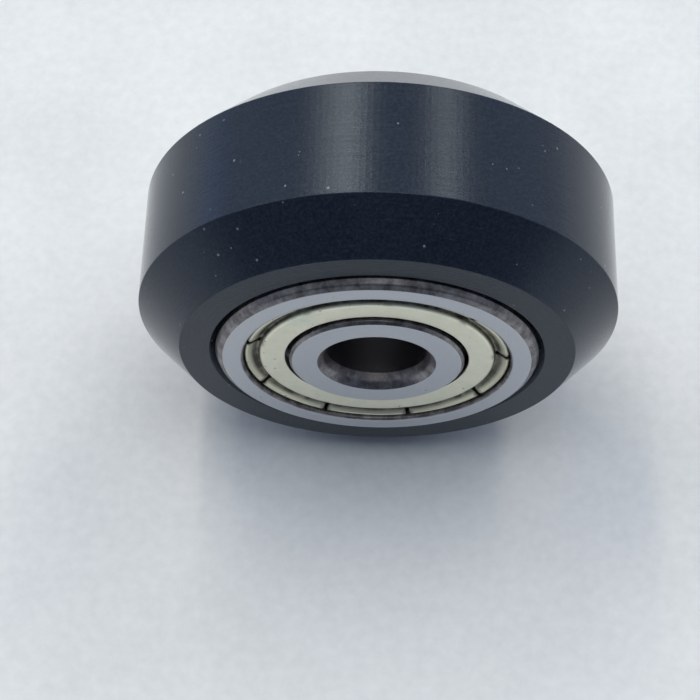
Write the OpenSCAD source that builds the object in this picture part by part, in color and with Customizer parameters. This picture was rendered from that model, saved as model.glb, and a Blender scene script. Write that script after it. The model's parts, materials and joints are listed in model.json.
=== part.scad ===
// Yoke-type cam follower: a solid V-edged roller on two shielded ball bearings.
// The roller turns about +Y. The front bearing lies on the -Y side.

/* [Roller] */
// Diameter over the tread
roller_d = 23.9; // [23:0.05:40]
// Width across the two side faces
roller_w = 10.23; // [8:0.01:13]
// Width of the flat tread between the two bevels
tread_w = 5.89; // [4.8:0.01:7.5]
// Angle of each bevel, measured from the axle
bevel_angle = 45; // [30:1:50]
// Width of the lip that parts the bearings, and of the washer between their inner rings
lip_w = 1; // [0.6:0.05:2]
// How far that lip stands in from the seats
lip_h = 1.05; // [0.6:0.05:1.5]
// Lead-in at the mouth of each bearing seat
mouth_break = 0.3; // [0.1:0.05:0.6]
// Small flats that break the corners of the tread and the side faces
edge_break = 0.06; // [0.02:0.01:0.2]
// Radial gap left between a bearing and its seat
seat_gap = 0.005; // [0:0.005:0.03]

/* [Bearing rings] */
// Outside diameter of a bearing
bearing_d = 16; // [13.3:0.1:17]
// Bore of a bearing
bearing_bore = 5; // [4:0.1:6.2]
// Width of a bearing
bearing_w = 5; // [4.9:0.1:7]
// Height of each ring's shoulder above the bottom of its raceway
shoulder_h = 0.5; // [0.3:0.05:0.6]
// Outer corner of the outer ring, across the face
outer_corner = 0.39; // [0.1:0.01:0.5]
// Outer corner of the outer ring, along the axle
outer_corner_l = 0.42; // [0.1:0.01:0.8]
// Bore corner of the inner ring, across the face
bore_corner = 0.45; // [0.1:0.01:0.6]
// Bore corner of the inner ring, along the axle
bore_corner_l = 0.75; // [0.1:0.01:1]
// Break on the outside edge of the inner ring
shoulder_break = 0.15; // [0.02:0.01:0.2]
// How far the outer ring's mouth stands out from its shoulder
ring_mouth_h = 0.46; // [0.4:0.01:0.5]
// Round on the edge of that mouth
ring_mouth_round = 0.15; // [0.05:0.01:0.2]

/* [Balls] */
// Diameter of a ball
ball_d = 2.778; // [2:0.001:2.95]
// Number of balls in a bearing
ball_count = 7; // [5:1:7]
// Gap between a ball and the bottom of each raceway
ball_gap = 0.02; // [0.01:0.005:0.05]
// Raceway radius as a share of the ball's diameter
race_share = 0.525; // [0.52:0.005:0.54]

/* [Ball cage] */
// Thickness of the pressed sheet
cage_t = 0.2; // [0.1:0.05:0.25]
// Width of the ribbon, from its bore to its rim
cage_w = 1.2; // [0.9:0.05:1.3]
// How much the pockets are drawn in from the ribbon's two edges
dome_draw = 0.03; // [0.02:0.01:0.1]
// Gap between a ball and its pocket
pocket_gap = 0.05; // [0.02:0.01:0.08]
// Diameter of a rivet's shank
rivet_d = 0.5; // [0.3:0.05:0.6]
// Diameter of a rivet's head
rivet_head_d = 0.78; // [0.6:0.02:0.9]
// Height of a rivet's head
rivet_head_h = 0.14; // [0.08:0.01:0.2]

/* [Shields] */
// Thickness of the pressed sheet
shield_t = 0.2; // [0.1:0.05:0.25]
// How far the flat of a shield lies below the ring's face
shield_recess = 0.23; // [0.1:0.01:0.3]
// Radial gap between a shield and the turning inner ring
shield_gap = 0.2; // [0.1:0.05:0.3]
// Depth of the channel between the flat and the rolled bead
channel_depth = 0.28; // [0.2:0.01:0.32]
// Width of the channel's floor
channel_w = 0.1; // [0.05:0.01:0.2]
// Width of the sloping wall between the flat and the channel
channel_slope = 0.1; // [0.05:0.01:0.2]
// Width of the rolled bead, from the channel to the ring's mouth
bead_w = 0.59; // [0.5:0.01:0.65]
// Gap between the bead and the outer ring
bead_gap = 0.05; // [0.03:0.01:0.1]
// How far the bead's crown stands above the flat
bead_rise = 0.03; // [0:0.01:0.09]
// Radius of the bead's crown
crown_r = 0.14; // [0.08:0.01:0.18]
// Number of slots that part the bead into tabs
slot_count = 9; // [6:1:12]
// Width of a slot
slot_w = 0.24; // [0.1:0.01:0.4]
// Angle from +X to the front shield's first slot
slot_phase = 6.5; // [0:0.5:40]

/* [Washer] */
// Outside diameter of the washer between the inner rings
washer_d = 10; // [7.5:0.1:12]
// How much wider than the bearing's bore the washer's bore is
washer_play = 0.1; // [0.02:0.01:0.2]
// Break on the washer's edges
washer_break = 0.08; // [0.02:0.01:0.15]

/* [Hidden] */
bearing_at = (lip_w + bearing_w) / 2;
roller_r = roller_d / 2;
bevel_l = (roller_w - tread_w) / 2;
face_r = roller_r - bevel_l * tan(bevel_angle);
seat_r = bearing_d / 2 + seat_gap;
lip_r = seat_r - lip_h;

ball_r = ball_d / 2;
pitch_r = (bearing_d + bearing_bore) / 4;
race_r = race_share * ball_d;
outer_floor_r = pitch_r + ball_r + ball_gap;
inner_floor_r = pitch_r - ball_r - ball_gap;
outer_land_r = outer_floor_r - shoulder_h;
inner_land_r = inner_floor_r + shoulder_h;

// The shield is worked outwards from the inner ring and hooks into a groove of the outer ring.
sheet_gap = 0.02;
hook_reach = 0.18;
mouth_r = outer_land_r + ring_mouth_h;
groove_r = mouth_r + hook_reach;
hook_r = groove_r - sheet_gap;
bead_out_r = mouth_r - bead_gap;
bead_in_r = bead_out_r - bead_w;
channel_r = bead_in_r - channel_w;
flat_r = channel_r - channel_slope;
shield_in_r = inner_land_r + shield_gap;
flat_z = bearing_w / 2 - shield_recess;
channel_z = flat_z - channel_depth;
shield_floor_z = channel_z - shield_t;
groove_top_z = channel_z + sheet_gap;
groove_floor_z = shield_floor_z - sheet_gap;

cage_in_r = pitch_r - cage_w / 2;
cage_out_r = pitch_r + cage_w / 2;
pocket_r = ball_r + pocket_gap;

// How far the underside's two bends lie inside the upper ones
bend_in = 0.08;
// How far a cutting shape runs past what it cuts
past = 1;
corner_steps = 6;
$fn = 96;

PIECES = ["outer_ring", "inner_ring", "outer_shield", "inner_shield",
          "cage_outer_half", "cage_inner_half", "cage_rivets"];

// An elliptical corner between two directions, as points on its curve
function corner(cx, cy, rx, ry, from, to) =
    [for (i = [0:corner_steps])
        let (a = from + (to - from) * i / corner_steps)
        [cx + rx * cos(a), cy + ry * sin(a)]];

function mirrored(points) = [for (i = [len(points) - 1:-1:0]) [points[i][0], -points[i][1]]];

// Turns what is built about +Z so that it stands about +Y
module on_axle() rotate([-90, 0, 0]) children();

// Puts a bearing's piece, built about its own middle, in the front or the rear bearing
module in_bearing(side) {
    on_axle() translate([0, 0, side * bearing_at]) children();
}

// Puts a piece in a bearing with its own +Z out of the roller (way 1) or into it (way -1)
module facing(side, way) {
    in_bearing(side) if (side * way < 0) mirror([0, 0, 1]) children(); else children();
}

module tube(r_out, r_in, from, to) {
    rotate_extrude() polygon([[r_in, from], [r_out, from], [r_out, to], [r_in, to]]);
}

module v_roller() {
    half = roller_w / 2;
    cut = edge_break / sqrt(2);
    side_points = [
        [lip_r, 0],
        [lip_r, lip_w / 2],
        [seat_r, lip_w / 2],
        [seat_r, half - mouth_break],
        [seat_r + mouth_break, half],
        [face_r - edge_break, half],
        [face_r + cut * tan(bevel_angle), half - cut],
        [roller_r - cut * tan(bevel_angle), tread_w / 2 + cut],
        [roller_r, tread_w / 2 - edge_break],
        [roller_r, 0]];
    color([0.08, 0.09, 0.11])
        on_axle() rotate_extrude() polygon(concat(side_points, mirrored(side_points)));
}

module inner_ring_washer() {
    r_out = washer_d / 2;
    r_in = (bearing_bore + washer_play) / 2;
    half = lip_w / 2;
    side_points = [
        [r_in, 0],
        [r_in, half - washer_break],
        [r_in + washer_break, half],
        [r_out - washer_break, half],
        [r_out, half - washer_break],
        [r_out, 0]];
    color("lightsteelblue")
        on_axle() rotate_extrude() polygon(concat(side_points, mirrored(side_points)));
}

module outer_ring(side) {
    half = bearing_w / 2;
    r_out = bearing_d / 2;
    round_r = ring_mouth_round;
    side_points = concat(
        [[outer_land_r, 0],
         [outer_land_r, groove_floor_z],
         [groove_r, groove_floor_z],
         [groove_r, groove_top_z],
         [mouth_r, groove_top_z]],
        corner(mouth_r + round_r, half - round_r, round_r, round_r, 180, 90),
        corner(r_out - outer_corner, half - outer_corner_l, outer_corner, outer_corner_l, 90, 0),
        [[r_out, 0]]);
    color("silver") in_bearing(side) rotate_extrude() difference() {
        polygon(concat(side_points, mirrored(side_points)));
        translate([outer_floor_r - race_r, 0]) circle(r = race_r);
    }
}

module inner_ring(side) {
    half = bearing_w / 2;
    r_in = bearing_bore / 2;
    side_points = concat(
        [[r_in, 0]],
        corner(r_in + bore_corner, half - bore_corner_l, bore_corner, bore_corner_l, 180, 90),
        [[inner_land_r - shoulder_break, half],
         [inner_land_r, half - shoulder_break],
         [inner_land_r, 0]]);
    color("silver") in_bearing(side) rotate_extrude() difference() {
        polygon(concat(side_points, mirrored(side_points)));
        translate([inner_floor_r + race_r, 0]) circle(r = race_r);
    }
}

// A pressed shield: a flat annulus, a channel, and a rolled bead that hooks into the outer ring.
// The bead slopes up from the channel to a round crown beside the ring.
module shield(side, way) {
    slope_end = 120;
    outline = concat(
        [[shield_in_r, flat_z - shield_t],
         [shield_in_r, flat_z],
         [flat_r, flat_z],
         [channel_r, channel_z],
         [bead_in_r, channel_z]],
        corner(bead_out_r - crown_r, flat_z + bead_rise - crown_r, crown_r, crown_r, slope_end, 0),
        [[bead_out_r, channel_z],
         [hook_r, channel_z],
         [hook_r, shield_floor_z],
         [channel_r - bend_in, shield_floor_z],
         [flat_r - bend_in, flat_z - shield_t]]);
    color([0.72, 0.73, 0.62]) facing(side, way) difference() {
        rotate_extrude() polygon(outline);
        for (i = [0:slot_count - 1])
            rotate(-slot_phase - i * 360 / slot_count)
                translate([channel_r, -slot_w / 2, shield_floor_z - past])
                    cube([hook_r - channel_r + past, slot_w, 2 * past + channel_depth + shield_t]);
    }
}

// Steps round the pitch circle, a ball's share at a time
module round_pitch(i) {
    rotate(i * 360 / ball_count) translate([pitch_r, 0, 0]) children();
}

module ball_places() {
    for (i = [1:ball_count]) round_pitch(i) children();
}

module rivet_places() {
    for (i = [1:ball_count]) round_pitch(i + 0.5) children();
}

module ball(side, i) {
    color("gainsboro") in_bearing(side) round_pitch(i) sphere(r = ball_r);
}

// Half of a ribbon cage: flats between the balls, and a domed pocket over each ball
module cage_half(side, way) {
    dome_r = pocket_r + cage_t;
    color("darkgray") facing(side, way) difference() {
        union() {
            tube(cage_out_r, cage_in_r, 0, cage_t);
            ball_places() intersection() {
                translate([-pitch_r, 0, 0])
                    tube(cage_out_r - dome_draw, cage_in_r + dome_draw, 0, dome_r + past);
                rotate([0, 90, 0]) sphere(r = dome_r);
            }
        }
        ball_places() rotate([0, 90, 0]) sphere(r = pocket_r);
        rivet_places() cylinder(r = rivet_d / 2, h = 2 * past, center = true);
    }
}

module cage_rivets(side) {
    color("dimgray") in_bearing(side) rivet_places() {
        cylinder(r = rivet_d / 2, h = 2 * cage_t, center = true);
        for (end = [0, 1]) mirror([0, 0, end]) translate([0, 0, cage_t])
            cylinder(r1 = rivet_head_d / 2, r2 = (rivet_head_d - rivet_head_h) / 2, h = rivet_head_h);
    }
}

v_roller();
inner_ring_washer();
for (end = [["front", -1], ["rear", 1]]) {
    name = end[0];
    side = end[1];
    outer_ring(side);
    inner_ring(side);
    shield(side, 1);
    shield(side, -1);
    cage_half(side, 1);
    cage_half(side, -1);
    cage_rivets(side);
    for (i = [1:ball_count])
        ball(side, i);
}
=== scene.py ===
# A black V-edged roller on two shielded ball bearings, standing on its tread.
# The bore runs along Y and the front bearing is on the -Y side. Sizes in the dictionaries are in millimetres.
import json
import math

import bmesh
import bpy
import numpy as np
from mathutils import Matrix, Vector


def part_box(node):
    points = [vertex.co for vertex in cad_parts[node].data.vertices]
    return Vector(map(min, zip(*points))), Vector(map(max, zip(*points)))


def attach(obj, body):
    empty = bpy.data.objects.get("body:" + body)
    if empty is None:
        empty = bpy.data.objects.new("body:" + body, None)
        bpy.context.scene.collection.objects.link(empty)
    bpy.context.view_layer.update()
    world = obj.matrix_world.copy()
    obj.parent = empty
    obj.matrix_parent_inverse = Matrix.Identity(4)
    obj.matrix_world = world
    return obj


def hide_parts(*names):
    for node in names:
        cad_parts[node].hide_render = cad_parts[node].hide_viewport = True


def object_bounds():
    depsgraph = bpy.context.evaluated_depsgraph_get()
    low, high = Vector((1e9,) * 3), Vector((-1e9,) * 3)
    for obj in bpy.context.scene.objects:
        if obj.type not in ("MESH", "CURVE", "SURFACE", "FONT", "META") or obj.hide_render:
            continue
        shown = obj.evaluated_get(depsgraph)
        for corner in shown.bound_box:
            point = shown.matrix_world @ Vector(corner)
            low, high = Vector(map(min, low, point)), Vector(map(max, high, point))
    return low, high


mm = 0.001
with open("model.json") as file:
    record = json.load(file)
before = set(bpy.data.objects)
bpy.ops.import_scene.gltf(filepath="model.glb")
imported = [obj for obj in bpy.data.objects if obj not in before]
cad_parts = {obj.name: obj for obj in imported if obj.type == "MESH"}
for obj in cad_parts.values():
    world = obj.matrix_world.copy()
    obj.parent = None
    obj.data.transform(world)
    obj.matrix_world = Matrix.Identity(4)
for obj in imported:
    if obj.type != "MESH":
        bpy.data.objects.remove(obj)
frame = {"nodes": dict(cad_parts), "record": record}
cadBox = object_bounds()
bodyOf = {node: body for body, nodes in frame["record"]["behaviour"]["bodies"].items() for node in nodes}


def ringOf(node):
    # radii about the bore and reach along it, in millimetres
    co = np.array([v.co for v in frame["nodes"][node].data.vertices]) / mm
    radius = np.hypot(co[:, 0], co[:, 2])
    return {"inner": radius.min(), "outer": radius.max(), "low": co[:, 1].min(), "high": co[:, 1].max(),
            "radii": radius, "along": co[:, 1]}


def halfTread(ring, near=0.02):
    # half the width of the part that has the largest radius
    return np.abs(ring["along"][ring["radii"] > ring["outer"] - near]).max()


def centreOf(node):
    low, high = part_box(node)
    return (low + high) / 2 / mm


def addNode(tree, kind, **settings):
    node = tree.nodes.new(kind)
    for name, value in settings.items():
        setattr(node, name, value)
    return node


def feed(tree, socket, value):
    if isinstance(value, bpy.types.NodeSocket):
        tree.links.new(value, socket)
    else:
        socket.default_value = value


def calc(tree, operation, *values):
    node = addNode(tree, "ShaderNodeMath", operation=operation)
    for socket, value in zip(node.inputs, values):
        feed(tree, socket, value)
    return node.outputs[0]


def vectorCalc(tree, operation, *values):
    node = addNode(tree, "ShaderNodeVectorMath", operation=operation)
    for socket, value in zip(node.inputs, values):
        feed(tree, socket, value)
    return node.outputs["Value" if operation in ("LENGTH", "DOT_PRODUCT") else "Vector"]


def combine(tree, x, y, z):
    node = addNode(tree, "ShaderNodeCombineXYZ")
    for socket, value in zip(node.inputs, (x, y, z)):
        feed(tree, socket, value)
    return node.outputs[0]


def newTree(name, sizes):
    # sizes: (label, socket type, default) of each named input after the geometry
    tree = bpy.data.node_groups.new(name, "GeometryNodeTree")
    tree.interface.new_socket("Geometry", in_out="INPUT", socket_type="NodeSocketGeometry")
    for label, kind, value in sizes:
        socket = tree.interface.new_socket(label, in_out="INPUT", socket_type="NodeSocket" + kind)
        if value is not None:
            socket.default_value = value
    tree.interface.new_socket("Geometry", in_out="OUTPUT", socket_type="NodeSocketGeometry")
    return tree, addNode(tree, "NodeGroupInput").outputs


def endTree(tree, given, geometry):
    # sharp edges by angle, then real geometry in its finish
    angle = addNode(tree, "GeometryNodeInputMeshEdgeAngle")
    smooth = addNode(tree, "FunctionNodeCompare", data_type="FLOAT", operation="LESS_THAN")
    feed(tree, smooth.inputs[0], angle.outputs["Unsigned Angle"])
    feed(tree, smooth.inputs[1], given["Crease"])
    shade = addNode(tree, "GeometryNodeSetShadeSmooth", domain="EDGE")
    feed(tree, shade.inputs["Geometry"], geometry)
    feed(tree, shade.inputs["Shade Smooth"], smooth.outputs[0])
    real = addNode(tree, "GeometryNodeRealizeInstances")
    feed(tree, real.inputs["Geometry"], shade.outputs["Geometry"])
    finish = addNode(tree, "GeometryNodeSetMaterial")
    feed(tree, finish.inputs["Geometry"], real.outputs["Geometry"])
    feed(tree, finish.inputs["Material"], given["Finish"])
    out = addNode(tree, "NodeGroupOutput")
    feed(tree, out.inputs["Geometry"], finish.outputs["Geometry"])
    return tree


def closedGrid(tree, columns, rows):
    # a grid that is to be bent round and joined to itself, with each point's column and row
    grid = addNode(tree, "GeometryNodeMeshGrid")
    feed(tree, grid.inputs["Vertices X"], calc(tree, "ADD", columns, 1))
    rowsAround = calc(tree, "ADD", rows, 1)
    feed(tree, grid.inputs["Vertices Y"], rowsAround)
    index = addNode(tree, "GeometryNodeInputIndex").outputs[0]
    column = calc(tree, "FLOOR", calc(tree, "DIVIDE", calc(tree, "ADD", index, 0.5), rowsAround))
    row = calc(tree, "SUBTRACT", index, calc(tree, "MULTIPLY", column, rowsAround))
    return grid.outputs["Mesh"], column, calc(tree, "FLOORED_MODULO", row, rows)


def aroundBore(tree, mesh, radius, along, angle):
    place = addNode(tree, "GeometryNodeSetPosition")
    feed(tree, place.inputs["Geometry"], mesh)
    x = calc(tree, "MULTIPLY", radius, calc(tree, "COSINE", angle))
    z = calc(tree, "MULTIPLY", radius, calc(tree, "SINE", angle))
    feed(tree, place.inputs["Position"], combine(tree, x, along, z))
    merge = addNode(tree, "GeometryNodeMergeByDistance")
    feed(tree, merge.inputs["Geometry"], place.outputs["Geometry"])
    feed(tree, merge.inputs["Distance"], 1e-8)
    return merge.outputs["Geometry"]


def turned(tree, given):
    # the outline, its corners rounded, turned once about the bore
    curve = addNode(tree, "GeometryNodeMeshToCurve")
    feed(tree, curve.inputs["Mesh"], given["Geometry"])
    rounding = addNode(tree, "GeometryNodeInputNamedAttribute", data_type="FLOAT")
    rounding.inputs["Name"].default_value = "rounding"
    fillet = addNode(tree, "GeometryNodeFilletCurve", mode="POLY")
    feed(tree, fillet.inputs["Curve"], curve.outputs["Curve"])
    feed(tree, fillet.inputs["Count"], given["Corner Steps"])
    feed(tree, fillet.inputs["Radius"], rounding.outputs["Attribute"])
    fillet.inputs["Limit Radius"].default_value = True
    size = addNode(tree, "GeometryNodeAttributeDomainSize", component="CURVE")
    feed(tree, size.inputs["Geometry"], fillet.outputs["Curve"])
    mesh, column, row = closedGrid(tree, given["Sides"], size.outputs["Point Count"])
    sample = addNode(tree, "GeometryNodeSampleIndex", data_type="FLOAT_VECTOR", domain="POINT")
    feed(tree, sample.inputs["Geometry"], fillet.outputs["Curve"])
    feed(tree, sample.inputs["Value"], addNode(tree, "GeometryNodeInputPosition").outputs[0])
    feed(tree, sample.inputs["Index"], row)
    point = addNode(tree, "ShaderNodeSeparateXYZ")
    feed(tree, point.inputs[0], sample.outputs["Value"])
    angle = calc(tree, "DIVIDE", calc(tree, "MULTIPLY", column, math.tau), given["Sides"])
    return aroundBore(tree, mesh, point.outputs["X"], point.outputs["Y"], angle)


turnedInputs = [("Sides", "Int", 192), ("Corner Steps", "Int", 4), ("Crease", "Float", 0.5),
                ("Finish", "Material", None)]


def turnedTree():
    tree, given = newTree("turned piece", turnedInputs)
    return endTree(tree, given, turned(tree, given))


def slottedTree():
    # a turned sheet with slots cut through its bead at even steps
    tree, given = newTree("slotted sheet", turnedInputs + [
        ("Slots", "Int", 9), ("Slot Width", "Float", 0.0002), ("Slot Flare", "Float", 0.0001),
        ("Slot Start", "Float", 0.006), ("Slot End", "Float", 0.007), ("Tab Middle", "Float", 0.0063),
        ("Tab Half", "Float", 0.0003), ("Tab Round", "Float", 0.0001), ("Crown", "Float", 0.0),
        ("Slot Depth", "Float", 0.001), ("Outwards", "Float", 1.0), ("First Slot", "Float", 0.0)])
    sheet = turned(tree, given)
    # one cutter: a wedge along the radius whose sides flare open just below the crown
    half = calc(tree, "MULTIPLY", given["Slot Width"], 0.5)
    wide = calc(tree, "ADD", half, given["Slot Flare"])
    cube = addNode(tree, "GeometryNodeMeshCube")
    for label, count in (("Vertices X", 14), ("Vertices Y", 4), ("Vertices Z", 2)):
        cube.inputs[label].default_value = count
    cube.inputs["Size"].default_value = (1, 1, 1)
    corner = addNode(tree, "ShaderNodeSeparateXYZ")
    feed(tree, corner.inputs[0], addNode(tree, "GeometryNodeInputPosition").outputs[0])
    side = calc(tree, "SIGN", corner.outputs["Z"])
    radius = addNode(tree, "ShaderNodeMix", data_type="FLOAT")
    feed(tree, radius.inputs[0], calc(tree, "ADD", corner.outputs["X"], 0.5))
    feed(tree, radius.inputs[2], given["Slot Start"])
    feed(tree, radius.inputs[3], given["Slot End"])
    # the four levels of the cutter, from below the sheet to above the crown
    level = calc(tree, "ROUND", calc(tree, "MULTIPLY", calc(tree, "ADD", corner.outputs["Y"], 0.5), 3))
    height = addNode(tree, "GeometryNodeIndexSwitch", data_type="FLOAT")
    width = addNode(tree, "GeometryNodeIndexSwitch", data_type="FLOAT")
    for switch in (height, width):
        feed(tree, switch.inputs["Index"], level)
        for extra in range(2):
            switch.index_switch_items.new()
    crown = given["Crown"]
    outwards = given["Outwards"]
    drop = given["Slot Depth"]
    heights = [calc(tree, "MULTIPLY", drop, -1), calc(tree, "MULTIPLY", given["Slot Flare"], -1), 0.0, drop]
    for i, value in enumerate(heights):
        feed(tree, height.inputs[i + 1], value)
    for i, value in enumerate([half, half, wide, wide]):
        feed(tree, width.inputs[i + 1], value)
    along = calc(tree, "ADD", crown, calc(tree, "MULTIPLY", outwards, height.outputs[0]))
    # the cut widens towards both edges of a tab, which rounds the tab's ends
    off = calc(tree, "ABSOLUTE", calc(tree, "SUBTRACT", radius.outputs[0], given["Tab Middle"]))
    share = calc(tree, "MINIMUM", calc(tree, "DIVIDE", off, given["Tab Half"]), 1.0)
    spread = calc(tree, "MULTIPLY", given["Tab Round"], calc(tree, "POWER", share, 4.0))
    across = calc(tree, "MULTIPLY", side, calc(tree, "ADD", width.outputs[0], spread))
    place = addNode(tree, "GeometryNodeSetPosition")
    feed(tree, place.inputs["Geometry"], cube.outputs["Mesh"])
    feed(tree, place.inputs["Position"], combine(tree, radius.outputs[0], along, across))
    # the cutter at even steps round the bore, its faces outward on either side
    flip = addNode(tree, "GeometryNodeFlipFaces")
    feed(tree, flip.inputs["Mesh"], place.outputs["Geometry"])
    feed(tree, flip.inputs["Selection"], calc(tree, "LESS_THAN", outwards, 0.0))
    points = addNode(tree, "GeometryNodePoints")
    feed(tree, points.inputs["Count"], given["Slots"])
    step = calc(tree, "DIVIDE", math.tau, given["Slots"])
    index = addNode(tree, "GeometryNodeInputIndex").outputs[0]
    turn = calc(tree, "ADD", given["First Slot"], calc(tree, "MULTIPLY", index, step))
    many = addNode(tree, "GeometryNodeInstanceOnPoints")
    feed(tree, many.inputs["Points"], points.outputs[0])
    feed(tree, many.inputs["Instance"], flip.outputs["Mesh"])
    feed(tree, many.inputs["Rotation"], combine(tree, 0, calc(tree, "MULTIPLY", turn, -1), 0))
    cut = addNode(tree, "GeometryNodeMeshBoolean", operation="DIFFERENCE", solver="EXACT")
    feed(tree, cut.inputs["Mesh 1"], sheet)
    feed(tree, cut.inputs["Mesh 2"], many.outputs["Instances"])
    return endTree(tree, given, cut.outputs["Mesh"])


def cageTree():
    # half a ribbon: flats between the balls, a domed pocket over each, closed round its own section
    tree, given = newTree("ribbon cage half", [
        ("Balls", "Int", 7), ("Steps a Ball", "Int", 40), ("Rows", "Int", 8),
        ("Inner Radius", "Float", 0.0046), ("Outer Radius", "Float", 0.0058),
        ("Pitch Radius", "Float", 0.00525), ("Pocket Radius", "Float", 0.00144),
        ("Sheet", "Float", 0.0002), ("Bend", "Float", 0.0001), ("Middle", "Float", 0.003),
        ("Way", "Float", 1.0), ("Crease", "Float", 0.5), ("Finish", "Material", None)])
    columns = calc(tree, "MULTIPLY", given["Balls"], given["Steps a Ball"])
    rows = calc(tree, "MULTIPLY", given["Rows"], 2)
    mesh, column, row = closedGrid(tree, columns, rows)
    angle = calc(tree, "DIVIDE", calc(tree, "MULTIPLY", column, math.tau), columns)
    # rows run out over the top of the sheet and back along its underside
    last = calc(tree, "SUBTRACT", given["Rows"], 1)
    under = calc(tree, "GREATER_THAN", row, calc(tree, "SUBTRACT", given["Rows"], 0.5))
    back = calc(tree, "SUBTRACT", calc(tree, "SUBTRACT", rows, 1), row)
    step = addNode(tree, "ShaderNodeMix", data_type="FLOAT")
    for socket, value in zip((step.inputs[0], step.inputs[2], step.inputs[3]), (under, row, back)):
        feed(tree, socket, value)
    width = calc(tree, "SUBTRACT", given["Outer Radius"], given["Inner Radius"])
    outOfWidth = calc(tree, "DIVIDE", step.outputs[0], last)
    radius = calc(tree, "MULTIPLY_ADD", outOfWidth, width, given["Inner Radius"])
    # how far each point lies from the middle of its nearest ball, seen along the bore
    share = calc(tree, "DIVIDE", math.tau, given["Balls"])
    wrapped = calc(tree, "FLOORED_MODULO", calc(tree, "MULTIPLY_ADD", share, 0.5, angle), share)
    offAngle = calc(tree, "SUBTRACT", wrapped, calc(tree, "MULTIPLY", share, 0.5))
    outward = calc(tree, "MULTIPLY", radius, calc(tree, "COSINE", offAngle))
    dx = calc(tree, "SUBTRACT", outward, given["Pitch Radius"])
    dz = calc(tree, "MULTIPLY", radius, calc(tree, "SINE", offAngle))
    away = calc(tree, "ADD", calc(tree, "MULTIPLY", dx, dx), calc(tree, "MULTIPLY", dz, dz))
    sheet = calc(tree, "MULTIPLY", given["Sheet"], calc(tree, "SUBTRACT", 1.0, under))
    dome = calc(tree, "ADD", given["Pocket Radius"], sheet)
    below = calc(tree, "SUBTRACT", calc(tree, "MULTIPLY", dome, dome), away)
    rise = calc(tree, "SQRT", calc(tree, "MAXIMUM", below, 0.0))
    height = calc(tree, "SMOOTH_MAX", rise, sheet, given["Bend"])
    along = calc(tree, "MULTIPLY_ADD", given["Way"], height, given["Middle"])
    return endTree(tree, given, aroundBore(tree, mesh, radius, along, angle))


def rivetTree():
    # one rivet, turned from its outline, set between the balls
    tree, given = newTree("row of rivets", turnedInputs + [
        ("Rivets", "Int", 7), ("Pitch Radius", "Float", 0.00525), ("Middle", "Float", 0.003)])
    rivet = turned(tree, given)
    points = addNode(tree, "GeometryNodePoints")
    feed(tree, points.inputs["Count"], given["Rivets"])
    index = addNode(tree, "GeometryNodeInputIndex").outputs[0]
    share = calc(tree, "DIVIDE", math.tau, given["Rivets"])
    angle = calc(tree, "MULTIPLY", calc(tree, "ADD", index, 0.5), share)
    x = calc(tree, "MULTIPLY", given["Pitch Radius"], calc(tree, "COSINE", angle))
    z = calc(tree, "MULTIPLY", given["Pitch Radius"], calc(tree, "SINE", angle))
    feed(tree, points.inputs["Position"], combine(tree, x, given["Middle"], z))
    many = addNode(tree, "GeometryNodeInstanceOnPoints")
    feed(tree, many.inputs["Points"], points.outputs[0])
    feed(tree, many.inputs["Instance"], rivet)
    return endTree(tree, given, many.outputs["Instances"])


def ballTree():
    tree, given = newTree("ball", [
        ("Radius", "Float", 0.0014), ("Fineness", "Int", 6), ("Middle", "Vector", None),
        ("Crease", "Float", 3.2), ("Finish", "Material", None)])
    ball = addNode(tree, "GeometryNodeMeshIcoSphere")
    feed(tree, ball.inputs["Radius"], given["Radius"])
    feed(tree, ball.inputs["Subdivisions"], given["Fineness"])
    place = addNode(tree, "GeometryNodeSetPosition")
    feed(tree, place.inputs["Geometry"], ball.outputs["Mesh"])
    feed(tree, place.inputs["Offset"], given["Middle"])
    return endTree(tree, given, place.outputs["Geometry"])


def outlineMesh(name, corners):
    # corners: (radius, along, rounding) in millimetres, in order round the section
    mesh = bpy.data.meshes.new(name)
    edges = [(i, (i + 1) % len(corners)) for i in range(len(corners))]
    mesh.from_pydata([(c[0] * mm, c[1] * mm, 0) for c in corners], edges, [])
    rounding = mesh.attributes.new("rounding", "FLOAT", "POINT")
    rounding.data.foreach_set("value", [(c[2] if len(c) > 2 else 0) * mm for c in corners])
    return mesh


def makePiece(node, tree, sizes, corners=()):
    # runs a tree on an outline and keeps the result as a plain mesh that stands for the CAD node
    name = node + "_piece"
    piece = bpy.data.objects.new(name, outlineMesh(name, corners))
    bpy.context.scene.collection.objects.link(piece)
    modifier = piece.modifiers.new(tree.name, "NODES")
    modifier.node_group = tree
    for socket in tree.interface.items_tree:
        if socket.in_out == "INPUT" and socket.name in sizes:
            modifier[socket.identifier] = sizes[socket.name]
    depsgraph = bpy.context.evaluated_depsgraph_get()
    mesh = bpy.data.meshes.new_from_object(piece.evaluated_get(depsgraph), depsgraph=depsgraph)
    mesh.name = name
    piece.modifiers.remove(modifier)
    piece.data = mesh
    while mesh.materials[0] is None:
        mesh.materials.pop(index=0)
    work = bmesh.new()
    work.from_mesh(mesh)
    bmesh.ops.recalc_face_normals(work, faces=work.faces)
    openEdges = sum(not edge.is_manifold for edge in work.edges)
    volume = work.calc_volume(signed=True) / mm ** 3
    work.to_mesh(mesh)
    work.free()
    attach(piece, bodyOf[node])
    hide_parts(node)
    print(f"{name}: {len(mesh.polygons)} faces, {volume:.2f} mm3, {openEdges} open edges")


def newFinish(name, **constants):
    finish = bpy.data.materials.new(name)
    finish.use_nodes = True
    tree = finish.node_tree
    shader = tree.nodes["Principled BSDF"]
    for label, value in constants.items():
        shader.inputs[label].default_value = value
    return finish, tree, shader


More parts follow.
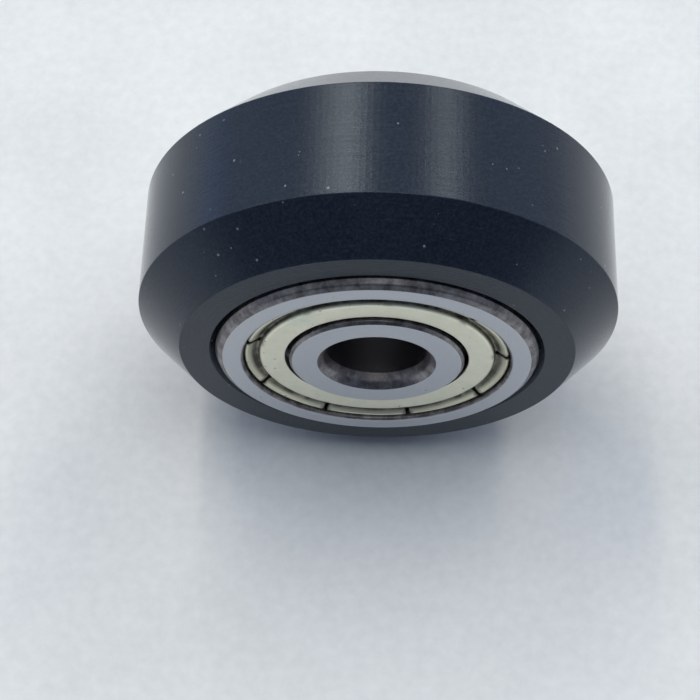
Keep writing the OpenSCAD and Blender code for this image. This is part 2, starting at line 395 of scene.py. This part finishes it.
def boreFrame(tree):
    # the piece's own coordinates in millimetres, with the radius and the reach along the bore
    place = addNode(tree, "ShaderNodeTexCoord").outputs["Object"]
    scaled = vectorCalc(tree, "MULTIPLY", place, (1000, 1000, 1000))
    parts = addNode(tree, "ShaderNodeSeparateXYZ")
    feed(tree, parts.inputs[0], scaled)
    x, along, z = parts.outputs
    radius = calc(tree, "SQRT", calc(tree, "ADD", calc(tree, "MULTIPLY", x, x), calc(tree, "MULTIPLY", z, z)))
    return {"place": scaled, "x": x, "z": z, "along": along, "radius": radius}


def noise(tree, vector, scale, detail=2.0, roughness=0.5, w=None):
    node = addNode(tree, "ShaderNodeTexNoise", noise_dimensions="3D" if w is None else "4D")
    feed(tree, node.inputs["Vector"], vector)
    if w is not None:
        feed(tree, node.inputs["W"], w)
    node.inputs["Scale"].default_value = scale
    node.inputs["Detail"].default_value = detail
    node.inputs["Roughness"].default_value = roughness
    return node.outputs["Fac"]


def ramp(tree, value, low, high, fromValue=0.0, toValue=1.0, smooth=False):
    node = addNode(tree, "ShaderNodeMapRange", interpolation_type="SMOOTHSTEP" if smooth else "LINEAR")
    for socket, number in zip(node.inputs, (value, low, high, fromValue, toValue)):
        feed(tree, socket, number)
    return node.outputs["Result"]


def blendColour(tree, share, first, second):
    node = addNode(tree, "ShaderNodeMix", data_type="RGBA")
    feed(tree, node.inputs[0], share)
    feed(tree, node.inputs[6], first)
    feed(tree, node.inputs[7], second)
    return node.outputs[2]


def roundMarks(tree, bore, across, around, detail=3.0):
    # tool marks: quick changes across the turning, slow ones round it
    direction = vectorCalc(tree, "NORMALIZE", combine(tree, bore["x"], 0, bore["z"]))
    parts = addNode(tree, "ShaderNodeSeparateXYZ")
    feed(tree, parts.inputs[0], direction)
    outward = calc(tree, "MULTIPLY", bore["radius"], across)
    along = calc(tree, "MULTIPLY", bore["along"], across)
    vector = combine(tree, outward, along, calc(tree, "MULTIPLY", parts.outputs["X"], around))
    return noise(tree, vector, 1.0, detail, 0.6, calc(tree, "MULTIPLY", parts.outputs["Z"], around))


def acrossMarks(tree, bore):
    # the direction square to the tool marks, along the surface, for the stretched glints of a turned face
    roundBore = vectorCalc(tree, "CROSS_PRODUCT", (0.0, 1.0, 0.0), bore["place"])
    toWorld = addNode(tree, "ShaderNodeVectorTransform", vector_type="VECTOR", convert_from="OBJECT",
                      convert_to="WORLD")
    feed(tree, toWorld.inputs[0], roundBore)
    normal = addNode(tree, "ShaderNodeNewGeometry").outputs["Normal"]
    return vectorCalc(tree, "NORMALIZE", vectorCalc(tree, "CROSS_PRODUCT", toWorld.outputs[0], normal))


def bump(tree, height, strength, distance):
    node = addNode(tree, "ShaderNodeBump")
    node.inputs["Strength"].default_value = strength
    node.inputs["Distance"].default_value = distance * mm
    feed(tree, node.inputs["Height"], height)
    return node.outputs["Normal"]


def specks(tree, place, scale, largest, stretch=(1.0, 1.0, 1.0)):
    # scattered spots, at most one to a cell and of uneven size
    cells = addNode(tree, "ShaderNodeTexVoronoi", feature="F1")
    feed(tree, cells.inputs["Vector"], vectorCalc(tree, "MULTIPLY", place, stretch))
    cells.inputs["Scale"].default_value = scale
    pick = addNode(tree, "ShaderNodeSeparateXYZ")
    feed(tree, pick.inputs[0], cells.outputs["Color"])
    size = calc(tree, "MULTIPLY", ramp(tree, pick.outputs["X"], 0.45, 1.0), largest)
    return ramp(tree, calc(tree, "SUBTRACT", size, cells.outputs["Distance"]), 0.0, 0.3 * largest)


def turnedPlastic():
    finish, tree, shader = newFinish("black turned plastic", **{
        "Anisotropic": 0.7, "IOR": 1.5, "Specular IOR Level": 0.42, "Specular Tint": (0.62, 0.76, 0.96, 1)})
    bore = boreFrame(tree)
    fine = roundMarks(tree, bore, 30.0, 2.4, 5.0)
    cloud = noise(tree, bore["place"], 0.35, 3.0)
    pores = noise(tree, bore["place"], 7.0, 5.0, 0.7)
    # dust, and a few short fibres lying askew
    dust = specks(tree, bore["place"], 1.6, 0.13)
    askew = addNode(tree, "ShaderNodeVectorRotate", rotation_type="EULER_XYZ")
    feed(tree, askew.inputs["Vector"], bore["place"])
    askew.inputs["Rotation"].default_value = (0.6, 0.9, 0.4)
    fibre = specks(tree, askew.outputs["Vector"], 1.1, 0.10, (1.0, 0.2, 1.0))
    pale = calc(tree, "MAXIMUM", calc(tree, "MULTIPLY", dust, 0.36), calc(tree, "MULTIPLY", fibre, 0.3))
    body = blendColour(tree, ramp(tree, cloud, 0.3, 0.7),
                       (0.0030, 0.0062, 0.0145, 1), (0.0046, 0.0085, 0.0185, 1))
    marked = blendColour(tree, ramp(tree, pores, 0.42, 0.72, 0.0, 0.6), body, (0.031, 0.037, 0.050, 1))
    feed(tree, shader.inputs["Base Color"], blendColour(tree, pale, marked, (0.42, 0.45, 0.48, 1)))
    # the marks scatter light less where the surface is seen at a low angle
    grazing = addNode(tree, "ShaderNodeLayerWeight")
    grazing.inputs["Blend"].default_value = 0.5
    low = calc(tree, "POWER", grazing.outputs["Facing"], 3.0)
    rough = ramp(tree, fine, 0.3, 0.7, 0.25, 0.37)
    eased = ramp(tree, low, 0.0, 0.6, 1.0, 0.25)
    feed(tree, shader.inputs["Roughness"], calc(tree, "MULTIPLY", rough, eased))
    feed(tree, shader.inputs["Tangent"], acrossMarks(tree, bore))
    height = calc(tree, "MULTIPLY_ADD", pores, 1.4, fine)
    feed(tree, shader.inputs["Normal"], bump(tree, height, 0.6, 0.007))
    return finish


def offMiddle(tree, bore, middle):
    # how far a point lies from the middle of its own bearing, along the bore
    return calc(tree, "ABSOLUTE", calc(tree, "SUBTRACT", calc(tree, "ABSOLUTE", bore["along"]), middle))


def ringSteel(middle, reach):
    # the faces are ground bright; the corners, the mouth and the start of the bore stay dull and blotched,
    # and deeper in the bore an even dark grey is painted shade
    finish, tree, shader = newFinish("ring steel", **{"Metallic": 1.0, "Anisotropic": 0.3})
    bore = boreFrame(tree)
    depth = calc(tree, "SUBTRACT", reach, offMiddle(tree, bore, middle))
    raw = ramp(tree, depth, 0.003, 0.02)
    # from half a millimetre to 1.2 mm in from the face the colour fades to an even dark grey: painted shade
    # deep in the bore
    paintedBoreShade = ramp(tree, depth, 0.5, 1.2)
    fine = roundMarks(tree, bore, 26.0, 5.0, 3.0)
    stain = noise(tree, bore["place"], 1.7, 6.0, 0.68)
    grain = noise(tree, bore["place"], 14.0, 4.0, 0.6)
    ground = blendColour(tree, ramp(tree, grain, 0.3, 0.7), (0.435, 0.445, 0.485, 1), (0.53, 0.55, 0.58, 1))
    brown = blendColour(tree, ramp(tree, stain, 0.40, 0.66), (0.12, 0.112, 0.118, 1), (0.30, 0.29, 0.30, 1))
    dullFinishAndShade = blendColour(tree, paintedBoreShade, brown, (0.20, 0.19, 0.195, 1))
    pits = calc(tree, "MULTIPLY", specks(tree, bore["place"], 1.9, 0.16), 0.6)
    pitted = blendColour(tree, pits, ground, (0.16, 0.15, 0.15, 1))
    feed(tree, shader.inputs["Base Color"], blendColour(tree, raw, pitted, dullFinishAndShade))
    rough = ramp(tree, grain, 0.3, 0.7, 0.28, 0.36)
    feed(tree, shader.inputs["Roughness"], calc(tree, "ADD", rough, calc(tree, "MULTIPLY", raw, 0.08)))
    feed(tree, shader.inputs["Tangent"], acrossMarks(tree, bore))
    feed(tree, shader.inputs["Normal"], bump(tree, calc(tree, "ADD", fine, grain), 0.22, 0.003))
    return finish


def passivatedSheet(middle, flat, slots, firstSlot):
    # zinc sheet with a faint yellow-green film, a duller bead, and painted shade with grease darkening the
    # channel
    finish, tree, shader = newFinish("passivated sheet", **{"Metallic": 1.0})
    bore = boreFrame(tree)
    lift = calc(tree, "SUBTRACT", offMiddle(tree, bore, middle), flat)
    cloud = noise(tree, bore["place"], 1.3, 4.0, 0.6)
    grain = noise(tree, bore["place"], 22.0, 3.0, 0.6)
    film = blendColour(tree, ramp(tree, cloud, 0.3, 0.7), (0.75, 0.745, 0.60, 1), (0.82, 0.805, 0.67, 1))
    fleck = noise(tree, bore["place"], 5.0, 6.0, 0.75)
    spots = calc(tree, "MULTIPLY", specks(tree, bore["place"], 2.2, 0.2), 0.75)
    marks = calc(tree, "MAXIMUM", ramp(tree, fleck, 0.60, 0.78, 0.0, 0.5), spots)
    stained = blendColour(tree, marks, film, (0.22, 0.23, 0.18, 1))
    # a patch of blue-green bloom on one side of the front shield
    offPatch = vectorCalc(tree, "LENGTH", vectorCalc(tree, "SUBTRACT", bore["place"], (-4.0, -5.27, 4.5)))
    bloom = calc(tree, "MULTIPLY", ramp(tree, offPatch, 0.3, 1.3, 1.0, 0.0), ramp(tree, fleck, 0.4, 0.6))
    patched = blendColour(tree, calc(tree, "MULTIPLY", bloom, 0.6), stained, (0.38, 0.55, 0.52, 1))
    # below the flat the colour darkens towards brown: painted shade in the channel, mixed with grease
    low = ramp(tree, lift, -0.16, -0.03, 1.0, 0.0)
    channelShadeAndGrease = calc(tree, "MULTIPLY", low, ramp(tree, cloud, 0.3, 0.6, 0.6, 1.0))
    # dirt gathers along the slots too
    turn = calc(tree, "SUBTRACT", calc(tree, "ARCTAN2", bore["z"], bore["x"]), math.radians(firstSlot))
    away = calc(tree, "PINGPONG", calc(tree, "MULTIPLY", turn, slots / math.tau), 0.5)
    offSlot = calc(tree, "MULTIPLY", calc(tree, "MULTIPLY", away, math.tau / slots), bore["radius"])
    nearSlot = ramp(tree, calc(tree, "MULTIPLY_ADD", fleck, 0.5, offSlot), 0.35, 0.62, 1.0, 0.0)
    dirty = calc(tree, "MULTIPLY", nearSlot, ramp(tree, bore["radius"], 5.6, 5.9))
    grimeAndChannelShade = calc(tree, "MAXIMUM", channelShadeAndGrease, calc(tree, "MULTIPLY", dirty, 0.85))
    onBead = ramp(tree, bore["radius"], 5.85, 6.05, 0.0, 0.4)
    dulled = blendColour(tree, onBead, patched, (0.36, 0.36, 0.24, 1))
    feed(tree, shader.inputs["Base Color"], blendColour(tree, grimeAndChannelShade, dulled, (0.10, 0.095, 0.08, 1)))
    rough = ramp(tree, grain, 0.3, 0.7, 0.34, 0.44)
    feed(tree, shader.inputs["Roughness"], calc(tree, "ADD", rough, calc(tree, "MULTIPLY", grimeAndChannelShade, 0.2)))
    feed(tree, shader.inputs["Normal"], bump(tree, grain, 0.2, 0.004))
    return finish


def pressedSteel(name, dark, light, rough):
    finish, tree, shader = newFinish(name, **{"Metallic": 1.0})
    bore = boreFrame(tree)
    grain = noise(tree, bore["place"], 9.0, 4.0, 0.6)
    feed(tree, shader.inputs["Base Color"], blendColour(tree, grain, dark + (1,), light + (1,)))
    feed(tree, shader.inputs["Roughness"], ramp(tree, grain, 0.3, 0.7, rough - 0.05, rough + 0.08))
    feed(tree, shader.inputs["Normal"], bump(tree, grain, 0.15, 0.004))
    return finish


def paperFloor():
    finish, tree, shader = newFinish("pale paper", **{"Roughness": 0.9, "Specular IOR Level": 0.2})
    place = boreFrame(tree)["place"]
    cloud = noise(tree, place, 0.10, 4.0, 0.55)
    fibre = noise(tree, place, 1.6, 4.0, 0.6)
    mixed = calc(tree, "MULTIPLY_ADD", fibre, 0.45, calc(tree, "MULTIPLY", cloud, 0.55))
    paper = blendColour(tree, ramp(tree, mixed, 0.32, 0.68),
                        (0.628, 0.658, 0.698, 1), (0.735, 0.765, 0.806, 1))
    feed(tree, shader.inputs["Base Color"], paper)
    return finish


# degrees and millimetres
cameraSet = {"lens": 89.15, "sensor": 36.0, "elevation": 63.29, "roll": 1.692, "distance": 96.7,
             "aim": (-1.335, 0.0, -9.444)}


def placeAt(thing, right, up, back, spot):
    matrix = np.eye(4)
    matrix[:3, 0], matrix[:3, 1], matrix[:3, 2], matrix[:3, 3] = right, up, back, spot
    thing.matrix_world = Matrix(matrix.tolist())


def setCamera():
    data = bpy.data.cameras.new("camera")
    data.lens = cameraSet["lens"]
    data.sensor_width = cameraSet["sensor"]
    data.clip_start = 1 * mm
    data.clip_end = 10
    camera = bpy.data.objects.new("camera", data)
    bpy.context.scene.collection.objects.link(camera)
    tilt = math.radians(cameraSet["elevation"])
    roll = math.radians(cameraSet["roll"])
    back = np.array([0, -math.cos(tilt), math.sin(tilt)])
    right = np.array([1.0, 0, 0])
    up = np.cross(back, right)
    turnedRight = math.cos(roll) * right + math.sin(roll) * up
    turnedUp = math.cos(roll) * up - math.sin(roll) * right
    spot = np.array(cameraSet["aim"]) * mm + back * cameraSet["distance"] * mm
    placeAt(camera, turnedRight, turnedUp, back, spot)
    bpy.context.scene.camera = camera


def areaLight(name, direction, distance, size, power, colour):
    # an area light that looks at the roller from a direction (x, y, z), its long side along Y
    data = bpy.data.lights.new(name, "AREA")
    data.shape = "RECTANGLE"
    data.size, data.size_y = size
    data.energy = power
    data.color = colour
    light = bpy.data.objects.new(name, data)
    bpy.context.scene.collection.objects.link(light)
    back = np.array(direction, float)
    back /= np.linalg.norm(back)
    right = np.cross([0.0, 1.0, 0.0], back)
    right /= np.linalg.norm(right)
    placeAt(light, right, np.cross(back, right), back, back * distance)


def setWorld():
    # a room that is bright behind the roller and dark in front of it; the eye itself sees a pale backdrop
    world = bpy.data.worlds.new("studio")
    bpy.context.scene.world = world
    world.use_nodes = True
    tree = world.node_tree
    tree.nodes.clear()
    direction = addNode(tree, "ShaderNodeSeparateXYZ")
    feed(tree, direction.inputs[0], addNode(tree, "ShaderNodeTexCoord").outputs["Generated"])
    behind = ramp(tree, direction.outputs["Y"], -0.65, 0.3, 0.0, 1.0, smooth=True)
    room = blendColour(tree, behind, (0.062, 0.082, 0.130, 1), (0.55, 0.63, 0.76, 1))
    seen = addNode(tree, "ShaderNodeLightPath").outputs["Is Camera Ray"]
    shown = blendColour(tree, seen, room, (0.74, 0.79, 0.84, 1))
    back = addNode(tree, "ShaderNodeBackground")
    feed(tree, back.inputs["Color"], shown)
    out = addNode(tree, "ShaderNodeOutputWorld")
    feed(tree, out.inputs["Surface"], back.outputs[0])


def setFloor(level):
    mesh = bpy.data.meshes.new("floor")
    half = 0.6  # metres
    corners = [(x * half, y * half, level) for x, y in ((-1, -1), (1, -1), (1, 1), (-1, 1))]
    mesh.from_pydata(corners, [], [(0, 1, 2, 3)])
    floor = bpy.data.objects.new("floor", mesh)
    bpy.context.scene.collection.objects.link(floor)
    mesh.materials.append(paperFloor())


setCamera()
setWorld()
setFloor(cadBox[0][2])
warm = (1.0, 0.98, 0.88)
amber = (1.0, 0.90, 0.72)
areaLight("overhead", (0.0, -0.10, 1.0), 0.55, (0.4, 0.25), 0.70, warm)
areaLight("leftPanel", (-0.80, 0.06, 0.64), 0.55, (0.3, 0.3), 0.38, warm)
areaLight("rightPanel", (0.80, 0.06, 0.64), 0.55, (0.3, 0.3), 0.26, warm)
areaLight("leftStrip", (-0.23, 0.45, 0.87), 0.5, (0.03, 0.34), 0.50, amber)
areaLight("leftGlow", (-0.36, 0.45, 0.82), 0.5, (0.10, 0.34), 0.42, amber)
areaLight("rightStrip", (0.43, 0.45, 0.78), 0.5, (0.07, 0.34), 0.50, amber)
areaLight("blueSide", (-0.90, 0.42, 0.06), 0.4, (0.12, 0.05), 0.03, (0.10, 0.40, 1.0))
bpy.context.scene.view_settings.view_transform = "Standard"
print("camera, light and floor set")


# in an outline each corner is (radius, reach along the bore, rounding)
rollerSizes = {"seatGap": 0.005, "seatRound": 0.02, "edgeBreak": 0.06, "bevelRound": 0.1,
               "faceRound": 0.07, "lead": 0.3, "leadRound": 0.05, "lip": 1.0, "lipRound": 0.05,
               "sides": 256, "cornerSteps": 5}


def mirrored(corners):
    return corners + [(c[0], -c[1]) + tuple(c[2:]) for c in reversed(corners)]


def buildRoller(tree, finish):
    ring = ringOf("v_roller")
    half = ring["high"]
    r = rollerSizes
    tread = halfTread(ring) + r["edgeBreak"]
    face = ring["outer"] - (half - tread)
    seat = ringOf("front_outer_ring")["outer"] + r["seatGap"]
    corners = mirrored([
        (ring["inner"], r["lip"] / 2, r["lipRound"]),
        (seat, r["lip"] / 2, r["seatRound"]),
        (seat, half - r["lead"], r["leadRound"]),
        (seat + r["lead"], half, r["leadRound"]),
        (face, half, r["faceRound"]),
        (ring["outer"], tread, r["bevelRound"])])
    makePiece("v_roller", tree, {"Sides": r["sides"], "Corner Steps": r["cornerSteps"], "Crease": 0.6,
                                 "Finish": finish}, corners)


washerSizes = {"edgeRound": 0.08, "sides": 96}


def buildWasher(tree, finish):
    ring = ringOf("inner_ring_washer")
    w = washerSizes
    corners = mirrored([(ring[edge], ring["high"], w["edgeRound"]) for edge in ("inner", "outer")])
    makePiece("inner_ring_washer", tree, {"Sides": w["sides"], "Corner Steps": 3, "Crease": 0.6,
                                          "Finish": finish}, corners)


bearingSizes = {"cornerAcross": 0.39, "cornerAlong": 0.42, "cornerBulge": 0.05, "cornerBow": 0.3,
                "boreAcross": 0.45, "boreAlong": 0.75, "boreBulge": 0.06, "boreBow": 0.5,
                "cornerRound": 0.02, "cornerEnd": 0.006, "mouthHigh": 0.46, "mouthRound": 0.15,
                "mouthEdge": 0.01, "landEdge": 0.02, "shoulderBreak": 0.15, "shoulderRound": 0.05,
                "ballGap": 0.02, "raceShare": 0.525, "raceSteps": 20, "hookReach": 0.18,
                "sheetGap": 0.02, "balls": 7, "sides": 192}
shieldSizes = {"thick": 0.2, "recess": 0.23, "channelDepth": 0.28, "channelWide": 0.1, "slope": 0.1,
               "bead": 0.59, "beadGap": 0.05, "beadRise": 0.03, "crown": 0.14, "slopeEnd": 120,
               "crownSteps": 10, "bend": 0.2, "channelRound": 0.04, "beadFoot": 0.06, "bendIn": 0.08,
               "underChannel": 0.05, "underFlat": 0.06, "edgeRound": 0.03, "slots": 9,
               "firstSlot": 6.5, "slotWidth": 0.22, "slotFlare": 0.03, "slotDepth": 1.0,
               "slotPast": 0.2, "tabRound": 0.1, "sides": 180}


def bearingMeasures(side):
    # radii of a bearing, from its two rings and a ball
    outerRing = ringOf(side + "_outer_ring")
    innerRing = ringOf(side + "_inner_ring")
    ballLow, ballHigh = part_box(side + "_ball_1")
    ball = (ballHigh[1] - ballLow[1]) / 2 / mm
    middle = (outerRing["low"] + outerRing["high"]) / 2
    pitch = (outerRing["outer"] + innerRing["inner"]) / 2
    mouth = outerRing["inner"] + bearingSizes["mouthHigh"]
    half = (outerRing["high"] - outerRing["low"]) / 2
    flat = half - shieldSizes["recess"]
    return {"side": side, "middle": middle, "half": half, "ball": ball, "pitch": pitch,
            "rim": outerRing["outer"], "bore": innerRing["inner"], "mouth": mouth, "flat": flat,
            "outerLand": outerRing["inner"], "innerLand": innerRing["outer"],
            "channel": flat - shieldSizes["channelDepth"]}


def race(pitchSide, m, way):
    # the groove a ball runs in, as an arc from one shoulder to the other
    b = bearingSizes
    radius = b["raceShare"] * 2 * m["ball"]
    floor = m["pitch"] + way * (m["ball"] + b["ballGap"])
    centre = floor - way * radius
    edge = math.acos(abs(pitchSide - centre) / radius)
    return [(centre + way * radius * math.cos(t), radius * math.sin(t))
            for t in np.linspace(edge, -edge, b["raceSteps"])]


def shifted(corners, middle, way=1):
    return [(c[0], middle + way * c[1]) + tuple(c[2:]) for c in corners]


def buildRings(m, tree, finish):
    b = bearingSizes
    half = m["half"]
    groove = m["mouth"] + b["hookReach"]
    top = m["channel"] + b["sheetGap"]
    floor = m["channel"] - shieldSizes["thick"] - b["sheetGap"]
    bulge = b["cornerBulge"]
    outerSide = [
        (m["outerLand"], floor, b["landEdge"]),
        (groove, floor),
        (groove, top),
        (m["mouth"], top, b["mouthEdge"]),
        (m["mouth"], half, b["mouthRound"]),
        (m["rim"] - b["cornerAcross"], half, b["cornerRound"]),
        (m["rim"] - b["cornerAcross"] / 2 + bulge, half - b["cornerAlong"] / 2 + bulge, b["cornerBow"]),
        (m["rim"], half - b["cornerAlong"], b["cornerEnd"])]
    corners = mirrored(outerSide) + race(m["outerLand"], m, 1)[::-1]
    sizes = {"Sides": b["sides"], "Corner Steps": 4, "Crease": 0.5, "Finish": finish}
    makePiece(m["side"] + "_outer_ring", tree, sizes, shifted(corners, m["middle"]))
    bulge = b["boreBulge"]
    innerSide = [
        (m["innerLand"], half - b["shoulderBreak"], b["shoulderRound"]),
        (m["innerLand"] - b["shoulderBreak"], half, b["shoulderRound"]),
        (m["bore"] + b["boreAcross"], half, b["cornerRound"]),
        (m["bore"] + b["boreAcross"] / 2 - bulge, half - b["boreAlong"] / 2 + bulge, b["boreBow"]),
        (m["bore"], half - b["boreAlong"], b["cornerEnd"])]
    corners = mirrored(innerSide) + race(m["innerLand"], m, -1)[::-1]
    makePiece(m["side"] + "_inner_ring", tree, sizes, shifted(corners, m["middle"]))


def buildShield(m, name, way, tree, finish):
    s = shieldSizes
    beadOut = m["mouth"] - s["beadGap"]
    beadIn = beadOut - s["bead"]
    channel = beadIn - s["channelWide"]
    edge = channel - s["slope"]
    under = m["channel"] - s["thick"]
    hook = m["mouth"] + bearingSizes["hookReach"] - bearingSizes["sheetGap"]
    inner = ringOf(name)["inner"]
    bend = s["crown"]
    top = m["flat"] + s["beadRise"]
    crown = [(beadOut - bend + bend * math.cos(t), top - bend + bend * math.sin(t))
             for t in np.linspace(math.radians(s["slopeEnd"]), 0, s["crownSteps"])]
    corners = [
        (inner, m["flat"] - s["thick"], s["edgeRound"]),
        (inner, m["flat"], s["edgeRound"] * 2),
        (edge, m["flat"], s["bend"]),
        (channel, m["channel"], s["channelRound"]),
        (beadIn, m["channel"], s["beadFoot"])]
    corners += crown
    corners += [
        (beadOut, m["channel"], s["edgeRound"]),
        (hook, m["channel"], s["edgeRound"]),
        (hook, under, s["edgeRound"]),
        (channel - s["bendIn"], under, s["underChannel"]),
        (edge - s["bendIn"], m["flat"] - s["thick"], s["underFlat"])]
    outwards = way * (1 if m["middle"] > 0 else -1)
    sizes = {"Sides": s["sides"], "Corner Steps": 3, "Crease": 0.6, "Finish": finish, "Slots": s["slots"],
             "Slot Width": s["slotWidth"] * mm, "Slot Flare": s["slotFlare"] * mm,
             "Slot Start": channel * mm, "Slot End": (hook + s["slotPast"]) * mm,
             "Tab Middle": (beadIn + beadOut) / 2 * mm, "Tab Half": s["bead"] / 2 * mm,
             "Tab Round": s["tabRound"] * mm, "Crown": (m["middle"] + outwards * top) * mm,
             "Slot Depth": s["slotDepth"] * mm, "Outwards": float(outwards),
             "First Slot": math.radians(s["firstSlot"])}
    makePiece(name, tree, sizes, shifted(corners, m["middle"], outwards))


cageSizes = {"sheet": 0.2, "bend": 0.12, "stepsABall": 40, "rows": 7}
rivetSizes = {"head": 0.78, "headHeight": 0.14, "headRound": 0.08, "headSlope": 0.05, "headFoot": 0.02,
              "shank": 0.5, "core": 0.001, "sides": 20}


def buildCage(m, trees, finishes):
    c = cageSizes
    balls = bearingSizes["balls"]
    side = 1 if m["middle"] > 0 else -1
    for name, way in (("_cage_outer_half", side), ("_cage_inner_half", -side)):
        node = m["side"] + name
        ribbon = ringOf(node)
        pocket = ribbon["high"] - ribbon["low"] - c["sheet"]
        makePiece(node, trees["cage"], {
            "Balls": balls, "Steps a Ball": c["stepsABall"], "Rows": c["rows"],
            "Inner Radius": ribbon["inner"] * mm, "Outer Radius": ribbon["outer"] * mm,
            "Pitch Radius": m["pitch"] * mm, "Pocket Radius": pocket * mm, "Sheet": c["sheet"] * mm,
            "Bend": c["bend"] * mm, "Middle": m["middle"] * mm, "Way": float(way), "Crease": 0.7,
            "Finish": finishes["cage"]})
    # a rivet's head on each side of the two sheets
    r = rivetSizes
    top = c["sheet"] + r["headHeight"]
    flatEdge = r["head"] / 2 - r["headSlope"]
    corners = [
        (r["core"], -top),
        (r["core"], top),
        (flatEdge, top, r["headRound"]),
        (r["head"] / 2, c["sheet"], r["headFoot"]),
        (r["shank"] / 2, c["sheet"]),
        (r["shank"] / 2, -c["sheet"]),
        (r["head"] / 2, -c["sheet"], r["headFoot"]),
        (flatEdge, -top, r["headRound"])]
    makePiece(m["side"] + "_cage_rivets", trees["rivets"], {
        "Sides": r["sides"], "Corner Steps": 3, "Crease": 0.7, "Finish": finishes["rivet"], "Rivets": balls,
        "Pitch Radius": m["pitch"] * mm, "Middle": m["middle"] * mm}, corners)


def buildBalls(m, tree, finish):
    for i in range(1, bearingSizes["balls"] + 1):
        node = f"{m['side']}_ball_{i}"
        makePiece(node, tree, {"Radius": m["ball"] * mm, "Fineness": 6, "Middle": list(centreOf(node) * mm),
                               "Crease": 3.2, "Finish": finish})


trees = {"turned": turnedTree(), "slotted": slottedTree(), "cage": cageTree(), "rivets": rivetTree(),
         "ball": ballTree()}
rear = bearingMeasures("rear")
slots, firstSlot = shieldSizes["slots"], shieldSizes["firstSlot"]
finishes = {"plastic": turnedPlastic(), "ring": ringSteel(rear["middle"], rear["half"]),
            "shield": passivatedSheet(rear["middle"], rear["flat"], slots, firstSlot),
            "cage": pressedSteel("cage sheet", (0.42, 0.42, 0.42), (0.55, 0.54, 0.52), 0.34),
            "rivet": pressedSteel("rivet steel", (0.34, 0.34, 0.35), (0.48, 0.48, 0.48), 0.3),
            "washer": pressedSteel("washer steel", (0.46, 0.46, 0.47), (0.6, 0.6, 0.6), 0.3),
            "ball": pressedSteel("ball steel", (0.72, 0.73, 0.74), (0.8, 0.8, 0.81), 0.12)}
buildRoller(trees["turned"], finishes["plastic"])
buildWasher(trees["turned"], finishes["washer"])
print("roller and washer done")
for side in ("front", "rear"):
    measures = bearingMeasures(side)
    buildRings(measures, trees["turned"], finishes["ring"])
    buildShield(measures, side + "_outer_shield", 1, trees["slotted"], finishes["shield"])
    buildShield(measures, side + "_inner_shield", -1, trees["slotted"], finishes["shield"])
    buildCage(measures, trees, finishes)
    buildBalls(measures, trees["ball"], finishes["ball"])
    print(side, "bearing done")
